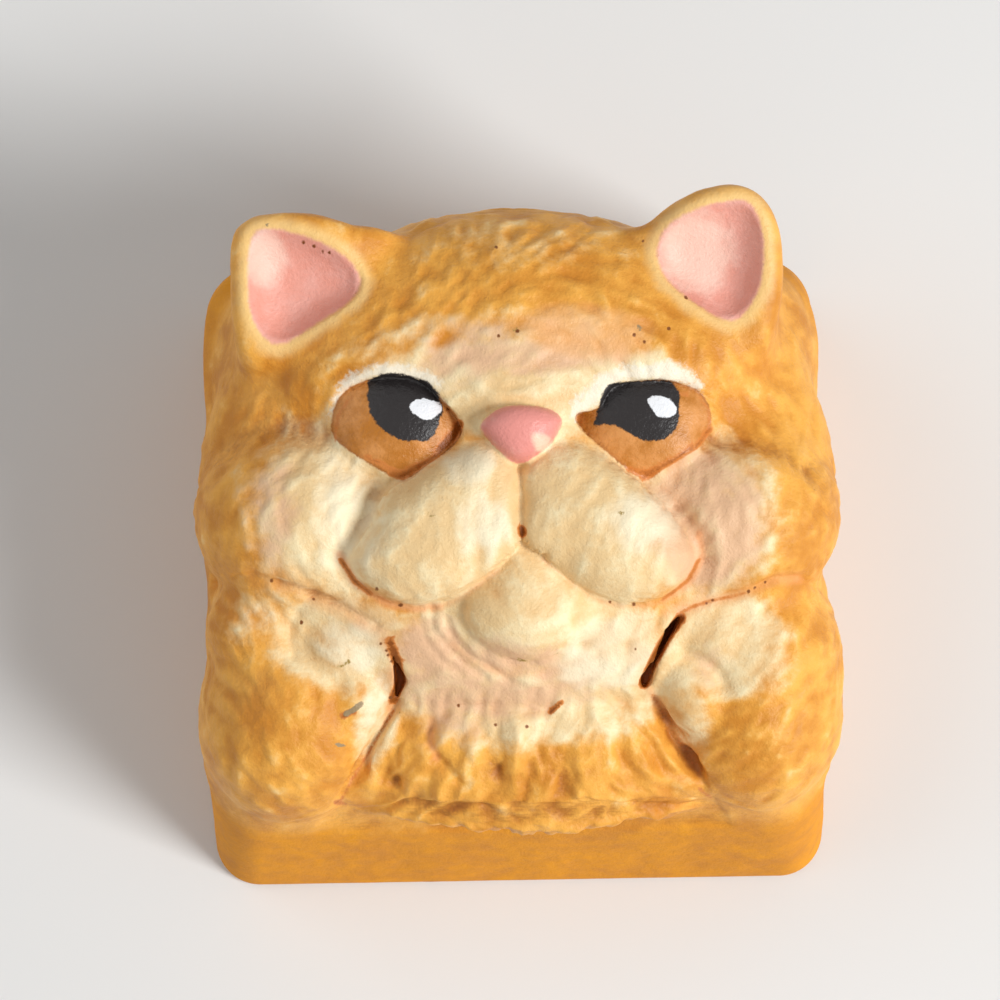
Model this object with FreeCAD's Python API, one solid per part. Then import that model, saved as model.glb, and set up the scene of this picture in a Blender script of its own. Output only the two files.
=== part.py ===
import FreeCAD, Part
import math
import os

# A cast resin keycap in the form of a cat that looks up, in millimetres.
# X runs to the typist's right, +Y away from them, Z up from the skirt's rim.

# Overall size: the rim's width and depth. The sculpt keeps its proportions to both.
CAP_WIDTH = 18.0
CAP_DEPTH = 18.0
SCULPT_WIDTH = 18.0
WIDE = CAP_WIDTH / SCULPT_WIDTH
DEEP = CAP_DEPTH / SCULPT_WIDTH

# Skirt: height, then what each side draws in from the rim (sides, front, back), then corner radius
SKIRT_LEVELS = (
    (0.0, 0.00, 0.00, 0.00, 1.3),
    (4.6, 0.28, 1.05, 0.15, 1.7),
    (7.2, 0.70, 2.00, 0.65, 2.4),
)

# Hollow under the skirt, open at the rim: wall thickness at sides, front and back, then corner radius
HOLLOW_DEPTH = 5.3
HOLLOW_RIM_WALLS = (1.50, 1.65, 1.50, 0.9)
HOLLOW_ROOF_WALLS = (1.85, 1.98, 1.80, 1.1)

# Post that grips the switch
POST_RADIUS = 2.75
POST_RECESS = 0.4
POST_FOOT_FLARE = 0.5
CROSS_LENGTH = 4.1
CROSS_WIDTH_X = 1.35
CROSS_WIDTH_Y = 1.20
CROSS_DEPTH = 3.8
CROSS_LEAD_IN = 0.15

# The face lies in a plane that leans towards the typist.
# Forms on it are placed by u to the right, v up the face and w out of it.
FACE_HEIGHT = 5.0
FACE_LEAN = 10.0
FACE = FreeCAD.Placement(
    FreeCAD.Vector(0, 0, FACE_HEIGHT),
    FreeCAD.Rotation(FreeCAD.Vector(1, 0, 0), FACE_LEAN),
)

# Each form is centre u, v, w, then half sizes along u, v, w, then its turn about w in degrees.
HEAD = (0.0, 2.0, 2.6, 8.9, 7.4, 3.7, 0)
FOREHEAD = (0.0, 5.9, 3.9, 6.4, 3.45, 2.9, 0)
BROWS = (
    (-3.3, 5.35, 4.5, 3.0, 1.35, 2.3, 8),
    (3.4, 5.30, 4.5, 3.0, 1.35, 2.3, -8),
)
CHEEKS = (
    (-5.75, 1.25, 3.4, 3.2, 3.05, 2.75, 0),
    (5.75, 1.15, 3.4, 3.2, 3.05, 2.75, 0),
)
JAW = (0.0, -1.3, 3.5, 6.2, 2.7, 2.0, 0)
NOSE_BRIDGE = (0.0, 4.4, 5.2, 1.7, 1.8, 1.6, 0)
PADS = (
    (-2.20, 0.86, 5.85, 2.85, 1.86, 1.5, 42),
    (2.30, 0.93, 5.85, 2.85, 1.86, 1.5, -42),
)
CHIN = (0.05, -1.55, 5.3, 1.85, 1.35, 1.5, 0)

# Eyes: a shallow socket and the ball in it, one at each side
EYE_SIDES = (-1, 1)
EYE_AT = (3.36, 3.45, 5.6)
EYE_HALF = (1.80, 1.42, 0.95)
SOCKET_LIFT = 0.85
SOCKET_HALF = (1.92, 1.54, 1.05)

# Nose: a rounded triangle cut from a dome
NOSE_DOME = (0.04, 3.70, 5.6, 1.6, 1.5, 1.85, 0)
NOSE_OUTLINE = (
    (-1.05, 3.45), (-0.6, 3.93), (0.1, 4.06), (0.75, 3.93),
    (1.18, 3.5), (0.55, 2.9), (0.04, 2.5), (-0.5, 2.88),
)
NOSE_BASE_W = 5.4
NOSE_HEIGHT = 3.0

CHEST = (0.3, -4.3, 0.8, 6.4, 3.25, 4.1, 0)
ARMS = (
    (-6.12, -4.45, 1.7, 3.0, 3.45, 3.3, -8),
    (6.464, -4.30, 1.7, 2.65, 3.35, 3.2, 8),
)
PAW_LOBES = (
    (-4.75, -2.25, 3.9, 1.35, 1.15, 1.6, 0),
    (-4.35, -3.50, 3.6, 1.15, 1.45, 1.7, 0),
    (-7.00, -2.05, 3.3, 1.60, 1.30, 1.8, 0),
    (5.35, -2.15, 4.0, 1.35, 1.15, 1.6, 0),
    (4.70, -3.75, 3.7, 1.15, 1.30, 1.6, 0),
)

# Fur along the chest's lower edge: tufts side by side that lean out over the skirt
TUFTS = 13
TUFT_FROM = -4.9
TUFT_TO = 5.5
TUFT_V = -6.52
TUFT_W = 2.86
TUFT_SAG = 0.22
TUFT_STAGGER = 0.14
TUFT_HALF = (0.60, 1.75, 0.62)
TUFT_PITCH = 56.0
TUFT_FAN = 12.0

# Ears: each is a closed outline lofted from a foot in the head to a narrower edge, then scooped out.
# A level is w, growth about the outline's middle, and how far it has dropped down the face.
EAR_LEVELS = (
    (2.6, 1.06, 1.0),
    (4.6, 1.00, 0.35),
    (5.8, 0.93, 0.0),
    (6.25, 0.80, 0.0),
)
EAR_OUTLINES = (
    ((-7.75, 6.5), (-7.85, 8.4), (-7.1, 9.4), (-5.6, 9.5), (-3.5, 8.9), (-4.0, 7.2), (-5.9, 5.8)),
    ((3.3, 8.7), (4.9, 9.85), (6.1, 10.12), (7.1, 9.45), (7.5, 7.4), (6.7, 6.0), (4.6, 6.6)),
)
EAR_SCOOPS = (
    (-5.85, 7.5, 6.6, 1.75, 1.60, 1.7, -20),
    (5.60, 8.1, 6.6, 1.45, 1.80, 1.7, -22),
)


def ellipsoid(half_u, half_v, half_w):
    scale = FreeCAD.Matrix()
    scale.scale(half_u * WIDE, half_v * DEEP, half_w)
    return Part.makeSphere(1.0).transformGeometry(scale)


def face_point(u, v, w):
    return FreeCAD.Vector(u * WIDE, v * DEEP, w)


def on_face(form):
    """An ellipsoid placed in the face's own axes."""
    u, v, w, half_u, half_v, half_w, turn = form
    turned = FreeCAD.Rotation(FreeCAD.Vector(0, 0, 1), turn)
    body = ellipsoid(half_u, half_v, half_w)
    body.Placement = FACE.multiply(FreeCAD.Placement(face_point(u, v, w), turned))
    return body


def closed_curve(points):
    curve = Part.BSplineCurve()
    curve.interpolate(Points=points, PeriodicFlag=True)
    return Part.Wire([curve.toShape()])


def rounded_outline(sides, front, back, radius, height):
    """A closed rounded rectangle at one height, drawn in from the rim by so much at each side."""
    right = CAP_WIDTH / 2 - sides
    near = -CAP_DEPTH / 2 + front
    far = CAP_DEPTH / 2 - back
    diagonal = radius * (1 - math.sqrt(0.5))
    corners = ((right, near, -1, 1), (right, far, -1, -1), (-right, far, 1, -1), (-right, near, 1, 1))
    arcs = []
    for index, (x, y, in_x, in_y) in enumerate(corners):
        along_x = FreeCAD.Vector(x + in_x * radius, y, height)
        along_y = FreeCAD.Vector(x, y + in_y * radius, height)
        middle = FreeCAD.Vector(x + in_x * diagonal, y + in_y * diagonal, height)
        ends = (along_x, along_y) if index % 2 == 0 else (along_y, along_x)
        arcs.append(Part.Arc(ends[0], middle, ends[1]).toShape())
    edges = []
    for index, arc in enumerate(arcs):
        following = arcs[(index + 1) % len(arcs)]
        edges.append(arc)
        edges.append(Part.makeLine(arc.Vertexes[-1].Point, following.Vertexes[0].Point))
    return Part.Wire(edges)


def skirt():
    outlines = [
        rounded_outline(sides, front, back, radius, height)
        for height, sides, front, back, radius in SKIRT_LEVELS
    ]
    return Part.makeLoft(outlines, True, True)


def hollow():
    rim = rounded_outline(*HOLLOW_RIM_WALLS, 0.0)
    roof = rounded_outline(*HOLLOW_ROOF_WALLS, HOLLOW_DEPTH)
    return Part.makeLoft([rim, roof], True, True)


def post():
    """The round post with a flare where it meets the roof."""
    sunk = 0.5
    length = HOLLOW_DEPTH + sunk - POST_RECESS
    column = Part.makeCylinder(POST_RADIUS, length, FreeCAD.Vector(0, 0, POST_RECESS))
    foot = FreeCAD.Vector(0, 0, HOLLOW_DEPTH - POST_FOOT_FLARE)
    flare = Part.makeCone(POST_RADIUS, POST_RADIUS + POST_FOOT_FLARE, POST_FOOT_FLARE, foot)
    return column.fuse(flare)


def cross_socket():
    """The cross-shaped socket with a short lead-in at its mouth."""
    overrun = 1.0
    bars = []
    for length_x, length_y in ((CROSS_LENGTH, CROSS_WIDTH_X), (CROSS_WIDTH_Y, CROSS_LENGTH)):
        corner = FreeCAD.Vector(-length_x / 2, -length_y / 2, POST_RECESS - overrun)
        bars.append(Part.makeBox(length_x, length_y, CROSS_DEPTH + overrun, corner))
    narrow = CROSS_WIDTH_X / 2 + CROSS_LEAD_IN
    mouth = FreeCAD.Vector(0, 0, POST_RECESS)
    lead_in = Part.makeCone(narrow + CROSS_LEAD_IN, narrow, CROSS_LEAD_IN, mouth)
    return bars[0].multiFuse([bars[1], lead_in])


def ear(outline):
    middle_u = sum(u for u, v in outline) / len(outline)
    middle_v = sum(v for u, v in outline) / len(outline)
    wires = []
    for w, grow, drop in EAR_LEVELS:
        points = [
            face_point(middle_u + (u - middle_u) * grow, middle_v + (v - middle_v) * grow - drop, w)
            for u, v in outline
        ]
        wires.append(closed_curve(points))
    flap = Part.makeLoft(wires, True, False)
    flap.Placement = FACE
    return flap


def nose():
    outline = Part.Face(closed_curve([face_point(u, v, NOSE_BASE_W) for u, v in NOSE_OUTLINE]))
    prism = outline.extrude(FreeCAD.Vector(0, 0, NOSE_HEIGHT))
    prism.Placement = FACE
    return prism.common(on_face(NOSE_DOME))


def eyes_and_sockets():
    u, v, w = EYE_AT
    balls = [on_face((side * u, v, w, *EYE_HALF, 0)) for side in EYE_SIDES]
    sockets = [on_face((side * u, v, w + SOCKET_LIFT, *SOCKET_HALF, 0)) for side in EYE_SIDES]
    return balls, sockets


def fringe():
    """Overlapping tufts that fan out a little and hang lowest in the middle."""
    tufts = []
    pitch = FreeCAD.Rotation(FreeCAD.Vector(1, 0, 0), TUFT_PITCH)
    for index in range(TUFTS):
        along = index / (TUFTS - 1)
        u = TUFT_FROM + along * (TUFT_TO - TUFT_FROM)
        v = TUFT_V - TUFT_SAG * math.sin(math.pi * along) + TUFT_STAGGER * (index % 2)
        fan = FreeCAD.Rotation(FreeCAD.Vector(0, 0, 1), TUFT_FAN * (2 * along - 1))
        tuft = ellipsoid(*TUFT_HALF)
        tuft.Placement = FACE.multiply(FreeCAD.Placement(face_point(u, v, TUFT_W), fan.multiply(pitch)))
        tufts.append(tuft)
    return tufts


def keycap():
    eyes, sockets = eyes_and_sockets()
    head = [on_face(form) for form in (HEAD, FOREHEAD, *BROWS, *CHEEKS, JAW, NOSE_BRIDGE)]
    ears = [ear(outline) for outline in EAR_OUTLINES]
    body = [on_face(form) for form in (CHEST, *ARMS, *PAW_LOBES)]
    scoops = [on_face(form) for form in EAR_SCOOPS]
    muzzle = [on_face(form) for form in (*PADS, CHIN)]
    cast = skirt()
    for group in (head, ears, body, fringe()):
        cast = cast.multiFuse(group)
    cast = cast.cut(sockets + scoops)
    cast = cast.multiFuse(eyes + muzzle + [nose()])
    cast = cast.cut(hollow()).fuse(post()).cut(cross_socket())
    return cast.Solids[0] if len(cast.Solids) == 1 else cast


os.makedirs("parts", exist_ok=True)
cap = keycap()
cap.exportStep("parts/keycap.step")
print("solids", len(cap.Solids), "valid", cap.isValid(), "volume", round(cap.Volume, 1))
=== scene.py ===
import math

import bmesh
import bpy
import numpy as np
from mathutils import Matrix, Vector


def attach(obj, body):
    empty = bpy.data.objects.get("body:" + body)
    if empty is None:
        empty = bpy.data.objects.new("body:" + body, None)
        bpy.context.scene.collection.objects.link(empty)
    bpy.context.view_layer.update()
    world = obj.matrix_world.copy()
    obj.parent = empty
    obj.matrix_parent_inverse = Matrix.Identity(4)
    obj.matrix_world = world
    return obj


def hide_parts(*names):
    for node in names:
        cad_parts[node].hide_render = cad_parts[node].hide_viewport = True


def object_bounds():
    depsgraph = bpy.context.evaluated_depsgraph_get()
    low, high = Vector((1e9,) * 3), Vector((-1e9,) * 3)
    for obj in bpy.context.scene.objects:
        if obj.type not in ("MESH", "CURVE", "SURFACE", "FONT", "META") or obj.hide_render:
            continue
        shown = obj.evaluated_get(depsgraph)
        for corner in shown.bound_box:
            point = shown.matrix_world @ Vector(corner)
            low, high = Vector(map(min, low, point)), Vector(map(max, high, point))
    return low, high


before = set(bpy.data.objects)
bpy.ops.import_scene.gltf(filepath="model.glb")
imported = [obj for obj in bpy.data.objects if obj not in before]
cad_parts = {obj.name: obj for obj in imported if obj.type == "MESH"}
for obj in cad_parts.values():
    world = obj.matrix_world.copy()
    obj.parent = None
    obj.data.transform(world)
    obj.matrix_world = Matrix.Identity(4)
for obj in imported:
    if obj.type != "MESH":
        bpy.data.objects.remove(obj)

import openvdb
from mathutils import Matrix, Vector

cad_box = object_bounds()

# The sculpt is worked out in millimetres and written to the mesh in metres.
MM = 0.001
VOXEL = 0.07
CLAY_BOX = ((-9.6, -9.6, -0.45), (9.6, 9.6, 13.6))
FAR = 2.0
MAX_TRIANGLES = 195000
SEED = 7

# The face leans towards the typist. Its own axes are u to the right, v up the face, w out of it.
FACE_HEIGHT = 5.0
LEAN = math.radians(10.0)

# The rim reaches the back of the CAD model's box
HALF_RIM = round(cad_box[1][1] / MM, 3)

# Skirt: height, then how far left, right, front and back draw in from the rim, then corner radius
SKIRT_LEVELS = (
    (0.0, 0.00, 0.00, 0.00, 0.00, 1.3),
    (4.6, 0.10, 0.28, 1.05, 0.15, 1.7),
    (7.2, 0.25, 0.65, 2.00, 0.60, 2.2),
)
# The hollow's walls in the same way, then the post and its cross socket
HOLLOW_DEPTH = 5.3
HOLLOW_LEVELS = (
    (0.0, 1.50, 1.50, 1.65, 1.50, 0.9),
    (HOLLOW_DEPTH, 1.85, 1.85, 1.98, 1.80, 1.1),
)
POST_RADIUS = 2.75
POST_RECESS = 0.4
CROSS_HALF_LENGTH = 2.05
CROSS_HALF_WIDTHS = (0.675, 0.6)
CROSS_DEPTH = 3.8

# How softly each form meets what it is joined to or cut from
BLEND = {
    "sharp": 1e-6, "skirt_top": 0.35, "ear_top": 0.6, "ear_foot": 0.2, "ear": 0.6, "bowl": 0.14,
    "eye": 0.16, "nose_top": 0.5, "nose": 0.1, "gap": 0.1, "pad": 0.16, "fringe_foot": 0.1,
    "fringe": 0.25, "chest": 0.12, "hollow_top": 0.5, "hollow": 0.1, "post_end": 0.12, "post": 0.5,
}

# Height w of the middle of the block that a face form is worked out in, and the block's reach
BLOCKS = {"eye": (5.8, 3.0), "nose": (6.4, 2.2), "gap": (5.0, 2.4), "pad": (6.2, 4.4)}

# Forms: centre u, v, w, half sizes, turn about w in degrees, and how softly it joins what is there
HEAD_FORMS = (
    (0.0, 2.0, 2.6, 8.9, 7.4, 3.7, 0, 0.8),
    (0.0, 5.9, 3.9, 6.4, 3.45, 2.8, 0, 1.2),
    (-3.3, 5.5, 4.4, 2.9, 1.35, 1.9, 8, 0.8),
    (3.4, 5.45, 4.4, 2.9, 1.35, 1.9, -8, 0.8),
    (-6.75, 5.5, 1.0, 1.75, 2.6, 2.2, 0, 0.7),
    (6.8, 5.5, 1.0, 1.75, 2.6, 2.2, 0, 0.7),
    (-5.8, 1.15, 3.4, 3.15, 2.9, 3.05, 0, 0.4),
    (5.85, 1.05, 3.4, 3.1, 2.9, 3.0, 0, 0.4),
    (0.0, -1.3, 3.5, 6.2, 2.7, 2.0, 0, 0.8),
    (0.0, 4.4, 5.2, 1.7, 1.9, 1.5, 0, 0.8),
)
CHEST_FORMS = (
    (0.3, -4.4, 0.8, 6.3, 4.3, 3.9, 0, 0.7),
    (0.2, -6.3, 1.0, 5.6, 2.4, 2.2, 0, 1.2),
)
LEFT_ARM_FORMS = (
    (-6.28, -4.2, 1.7, 2.78, 3.3, 3.3, -14, 0.1),
    (-7.05, -1.95, 3.2, 1.65, 1.4, 1.5, 0, 0.7),
    (-4.88, -2.45, 3.7, 1.36, 1.2, 1.38, 0, 0.22),
    (-4.55, -3.7, 3.4, 0.98, 1.42, 1.38, -14, 0.22),
)
RIGHT_ARM_FORMS = (
    (6.46, -4.18, 1.7, 2.65, 3.2, 3.2, 8, 0.1),
    (6.75, -2.55, 2.4, 2.15, 2.0, 2.8, 0, 0.9),
    (5.45, -2.3, 3.85, 1.42, 1.08, 1.42, 0, 0.3),
    (4.78, -3.75, 3.65, 1.05, 1.35, 1.38, 20, 0.25),
)
CHIN_FORMS = (
    (0.08, -1.5, 5.3, 1.9, 1.42, 1.45, 0, 0.35),
    (0.06, -0.5, 5.2, 0.9, 1.1, 1.3, 0, 0.6),
)

# The arms join more softly by this, between these heights
ARM_FOOT = 0.5
ARM_FOOT_HEIGHTS = (6.2, 5.0)

# Open gaps between paws and chest, as outlines on the face, and the depth they are cut to
GAPS = (
    (
        (-3.52, -2.7), (-3.36, -3.0), (-3.18, -3.32), (-3.22, -3.58), (-3.52, -3.98), (-3.5, -3.5),
        (-3.5, -3.05),
    ),
    (
        (4.38, -1.72), (3.98, -2.08), (3.78, -2.55), (3.48, -3.05), (3.26, -3.42), (3.34, -3.72),
        (3.6, -3.56), (3.78, -3.03), (3.97, -2.53), (4.28, -2.02),
    ),
)
GAP_FLOOR = 4.05
# Their walls lean in by this slope, from this height
GAP_SLOPE = 0.04
GAP_UPPER = 5.0

# Outlines on the face, as corner points of smooth closed curves
LEFT_EYE = (
    (-5.02, 3.3), (-5.02, 4.0), (-4.68, 4.53), (-4.03, 4.82), (-3.45, 4.9), (-2.73, 4.77), (-2.14, 4.34),
    (-1.54, 3.51), (-1.78, 2.99), (-2.38, 2.58), (-3.15, 2.1), (-4.25, 2.65),
)
RIGHT_EYE = (
    (1.54, 3.67), (2.15, 3.95), (2.53, 4.5), (3.2, 4.66), (4.11, 4.66), (5.0, 4.31), (5.25, 3.6),
    (4.91, 2.88), (3.92, 2.3), (3.4, 2.0), (2.43, 2.69),
)
LEFT_PUPIL = (
    (-4.0, 4.83), (-3.32, 4.95), (-2.43, 4.7), (-2.08, 4.2), (-2.1, 3.75), (-2.43, 3.15), (-2.9, 3.13),
    (-3.4, 3.24), (-3.94, 3.78), (-4.06, 4.35),
)
RIGHT_PUPIL = (
    (2.28, 4.36), (2.6, 4.62), (3.3, 4.67), (4.1, 4.64), (4.33, 4.4), (4.37, 3.95), (4.25, 3.4),
    (3.88, 3.06), (3.2, 3.1), (2.71, 3.4), (2.3, 3.5), (2.05, 3.45), (2.16, 3.91),
)
LEFT_GLINT = (
    (-2.95, 4.03), (-2.85, 4.2), (-2.62, 4.26), (-2.36, 4.22), (-2.12, 4.2), (-2.08, 3.98), (-2.21, 3.79),
    (-2.5, 3.69), (-2.78, 3.84),
)
RIGHT_GLINT = (
    (3.48, 4.12), (3.67, 4.25), (3.93, 4.22), (4.16, 4.11), (4.29, 3.88), (4.2, 3.72), (3.95, 3.64),
    (3.72, 3.72), (3.59, 3.89),
)
NOSE = (
    (-1.05, 3.5), (-0.57, 3.91), (0.03, 4.02), (0.77, 3.92), (1.17, 3.6), (0.9, 3.02), (0.45, 2.66),
    (0.06, 2.47), (-0.35, 2.6), (-0.75, 3.05),
)
LEFT_PAD = (
    (0.0, 0.48), (0.01, 1.5), (-0.02, 2.5), (-0.5, 3.1), (-1.3, 3.3), (-2.2, 2.75), (-3.1, 2.2),
    (-3.75, 1.7), (-4.1, 1.0), (-4.72, 0.25), (-4.83, -0.2), (-4.46, -0.65), (-3.64, -1.17), (-2.9, -1.33),
    (-2.2, -1.27), (-1.5, -0.98), (-0.63, -0.28),
)
RIGHT_PAD = (
    (0.06, 0.48), (0.6, -0.02), (1.17, -0.59), (1.91, -1.13), (2.96, -1.37), (3.87, -1.23), (4.55, -0.72),
    (4.88, -0.1), (4.68, 0.5), (4.0, 1.4), (3.4, 2.0), (2.43, 2.69), (1.6, 3.3), (0.9, 3.15), (0.45, 2.8),
    (0.08, 2.45), (0.05, 1.5),
)
LEFT_EAR = (
    (-7.72, 6.2), (-7.74, 8.5), (-7.3, 9.2), (-6.6, 9.38), (-5.5, 9.36), (-4.45, 9.08), (-3.2, 8.8),
    (-3.9, 7.3), (-5.1, 6.2), (-6.5, 5.4), (-7.4, 5.4),
)
LEFT_EAR_PINK = (
    (-7.29, 7.56), (-7.15, 6.4), (-6.49, 5.8), (-5.43, 6.37), (-4.49, 6.99), (-4.22, 7.61), (-4.67, 8.2),
    (-5.51, 8.66), (-6.64, 8.95), (-7.15, 8.7),
)
RIGHT_EAR = (
    (3.0, 8.75), (3.72, 9.13), (4.56, 9.66), (5.31, 9.92), (6.04, 9.98), (6.67, 9.7), (7.08, 9.14),
    (7.28, 8.3), (7.25, 6.8), (6.8, 5.5), (5.9, 5.6), (4.73, 6.5), (3.66, 7.4),
)
RIGHT_EAR_PINK = (
    (6.25, 9.52), (6.57, 9.15), (6.75, 8.29), (6.63, 7.15), (6.09, 6.35), (5.65, 6.3), (5.05, 6.64),
    (4.23, 7.29), (3.9, 7.85), (3.88, 8.44), (4.2, 8.95), (5.0, 9.35), (5.75, 9.52),
)
LEFT_LID = (
    (-5.1, 3.8), (-5.04, 4.15), (-4.85, 4.6), (-4.6, 4.88), (-4.1, 5.08), (-3.31, 5.2), (-2.6, 5.04),
    (-2.1, 4.68), (-2.2, 4.5), (-2.73, 4.72), (-3.45, 4.84), (-4.03, 4.76), (-4.68, 4.45), (-4.95, 4.0),
)
RIGHT_LID = (
    (1.48, 3.65), (1.55, 4.05), (1.9, 4.55), (2.65, 5.02), (3.5, 5.16), (4.4, 5.04), (4.95, 4.6),
    (4.85, 4.4), (4.11, 4.62), (3.2, 4.62), (2.5, 4.45), (2.1, 3.95),
)
LEFT_EYEBALL = (-3.3, 3.5, 4.42, 2.5, 2.35, 1.95, 0)
RIGHT_EYEBALL = (3.4, 3.45, 4.42, 2.5, 2.35, 1.95, 0)
EYE_FLOOR = 4.8

# Muzzle pads: dome's middle, height, and how fast it falls away across, along and near the eyes
PAD_DOMES = ((-2.2, 0.75), (2.3, 0.8))
PAD_TOP = 7.3
PAD_FALL = (0.075, 0.055, 0.15)
PAD_FALL_FROM = 2.1
PAD_ROUNDING = (0.55, 1.5)
PAD_ROUNDING_FROM = (0.2, 1.6)

# Nose: middle of its dome, height, and how fast it falls away across and along
NOSE_DOME = (0.05, 3.5)
NOSE_TOP = 7.42
NOSE_FALL = (0.28, 0.32)

# Ears: foot and top of the flap, how it leans, and how its top slopes and falls towards the crown
EAR_FOOT = 2.6
EAR_TOP = 5.95
EAR_UPRIGHT = 0.6
EAR_LEAN = 0.3
EAR_SLOPE = 0.16
EAR_INNER = 5.4
EAR_INNER_FALL = 0.17
EAR_REACH = 4.2
BOWL_DEPTH = 0.82
BOWL_FALL = 0.45
BOWL_WALL = 0.8
BOWL_BLUR = 6

# Chest: where it lies on the face, the ledge low on it, and the lower edge of its fringe
CHEST_TOP = (-3.2, -4.1)
CHEST_SIDES = ((-3.85, -3.55, 0.62), (4.05, 3.75, -0.57))
CHEST_MIDDLE = -4.2
TIER_EDGE = -6.88
TIER_STEP = 0.16
TIER_SOFTNESS = 0.09
TIER_FADE = 0.1
TIER_RAGGED = (0.10, 0.08)
FRINGE_LOW = 0.6
FRINGE_RAGGED = 0.06
FRINGE_PLACES = np.linspace(-6.5, 6.5, 33)
FRINGE_EDGE = (
    (-5.6, -6.85), (-4.62, -7.12), (-3.45, -7.36), (-2.29, -7.52), (-1.12, -7.66), (0.05, -7.76),
    (1.61, -7.64), (3.17, -7.46), (4.74, -7.26), (5.7, -7.2),
)

# Folds and ridges, as lines on the face: points, half width, height (negative for a groove)
LINES = (
    (
        ((-1.61, -1.39), (-1.65, -1.77), (-1.43, -2.23), (-0.98, -2.58), (-0.38, -2.86), (0.3, -2.95)),
        0.16,
        -0.1,
    ),
    (((-2.45, -1.45), (-2.42, -1.99), (-2.04, -2.45), (-1.6, -2.91), (-0.99, -3.3)), 0.13, -0.09),
    (((-2.03, -1.76), (-1.89, -2.3), (-1.44, -2.76), (-0.84, -3.15), (-0.39, -3.39)), 0.12, -0.07),
    (((-2.72, -1.75), (-2.58, -2.36), (-2.2, -2.83), (-1.68, -3.21)), 0.12, -0.05),
    (((0.99, -2.76), (1.61, -2.55), (2.22, -2.4), (2.91, -2.15), (3.52, -1.85)), 0.14, -0.07),
    (((2.06, -2.7), (2.82, -2.53), (3.36, -2.23), (3.75, -1.86)), 0.12, -0.06),
    (((1.47, -1.67), (1.57, -2.13), (1.22, -2.58)), 0.14, -0.06),
    (((-1.92, -4.09), (-1.0, -4.18), (0.07, -4.27), (0.77, -4.25)), 0.15, -0.07),
    (((-2.54, -4.54), (-2.59, -5.08), (-2.4, -5.54), (-2.03, -5.93), (-1.65, -6.32)), 0.16, -0.13),
    (((0.4, -5.28), (0.55, -5.74), (0.58, -6.2)), 0.12, -0.08),
    (((1.36, -5.91), (1.5, -6.37), (1.65, -6.61)), 0.12, -0.08),
    (((-3.47, -5.21), (-3.44, -5.68)), 0.12, -0.07),
    (((3.06, -5.32), (3.24, -5.79)), 0.12, -0.07),
    (((3.6, -5.33), (3.82, -5.8), (3.89, -6.1)), 0.12, -0.08),
    (((-0.79, -5.72), (-0.72, -6.18)), 0.12, -0.07),
    (((-3.51, -6.27), (-3.28, -6.67), (-2.82, -6.83)), 0.22, -0.16),
    (((-1.48, -5.55), (-1.41, -5.94), (-1.5, -6.4)), 0.12, -0.09),
    (((-5.67, -1.14), (-6.1, -1.47), (-6.29, -1.86), (-6.36, -2.23), (-6.24, -2.65)), 0.16, -0.09),
    (((-8.52, -0.67), (-7.3, -0.48), (-6.27, -0.83), (-5.07, -1.27), (-3.98, -1.84)), 0.13, -0.1),
    (((4.3, -1.73), (5.16, -1.35), (6.14, -1.15), (7.0, -0.74), (7.61, -0.75), (8.4, -1.03)), 0.13, -0.1),
    (((4.53, -2.83), (4.95, -3.02), (5.37, -3.33), (5.55, -3.64)), 0.22, -0.1),
    (((6.62, -1.52), (6.86, -1.89), (7.22, -2.26), (7.4, -2.63)), 0.14, -0.05),
    (
        ((-5.11, 3.26), (-5.65, 3.54), (-6.19, 3.65), (-6.86, 3.63), (-7.54, 3.43), (-8.09, 3.04)),
        0.38,
        -0.16,
    ),
    (((5.22, 3.1), (5.73, 3.1), (6.34, 2.99), (7.09, 2.81), (7.63, 2.53), (8.03, 2.32)), 0.38, -0.16),
    (((-3.42, -4.05), (-3.75, -4.65), (-4.25, -5.4), (-4.75, -6.2), (-5.05, -6.7)), 0.12, -0.14),
    (((3.7, -4.05), (4.2, -4.9), (4.75, -5.9), (5.1, -6.5)), 0.12, -0.12),
    (((-3.9, 1.95), (-4.2, 1.1), (-4.8, 0.35), (-4.95, -0.1)), 0.25, -0.12),
    (((3.6, 1.9), (4.2, 1.25), (4.85, 0.45), (5.0, -0.2)), 0.25, -0.12),
)

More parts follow.
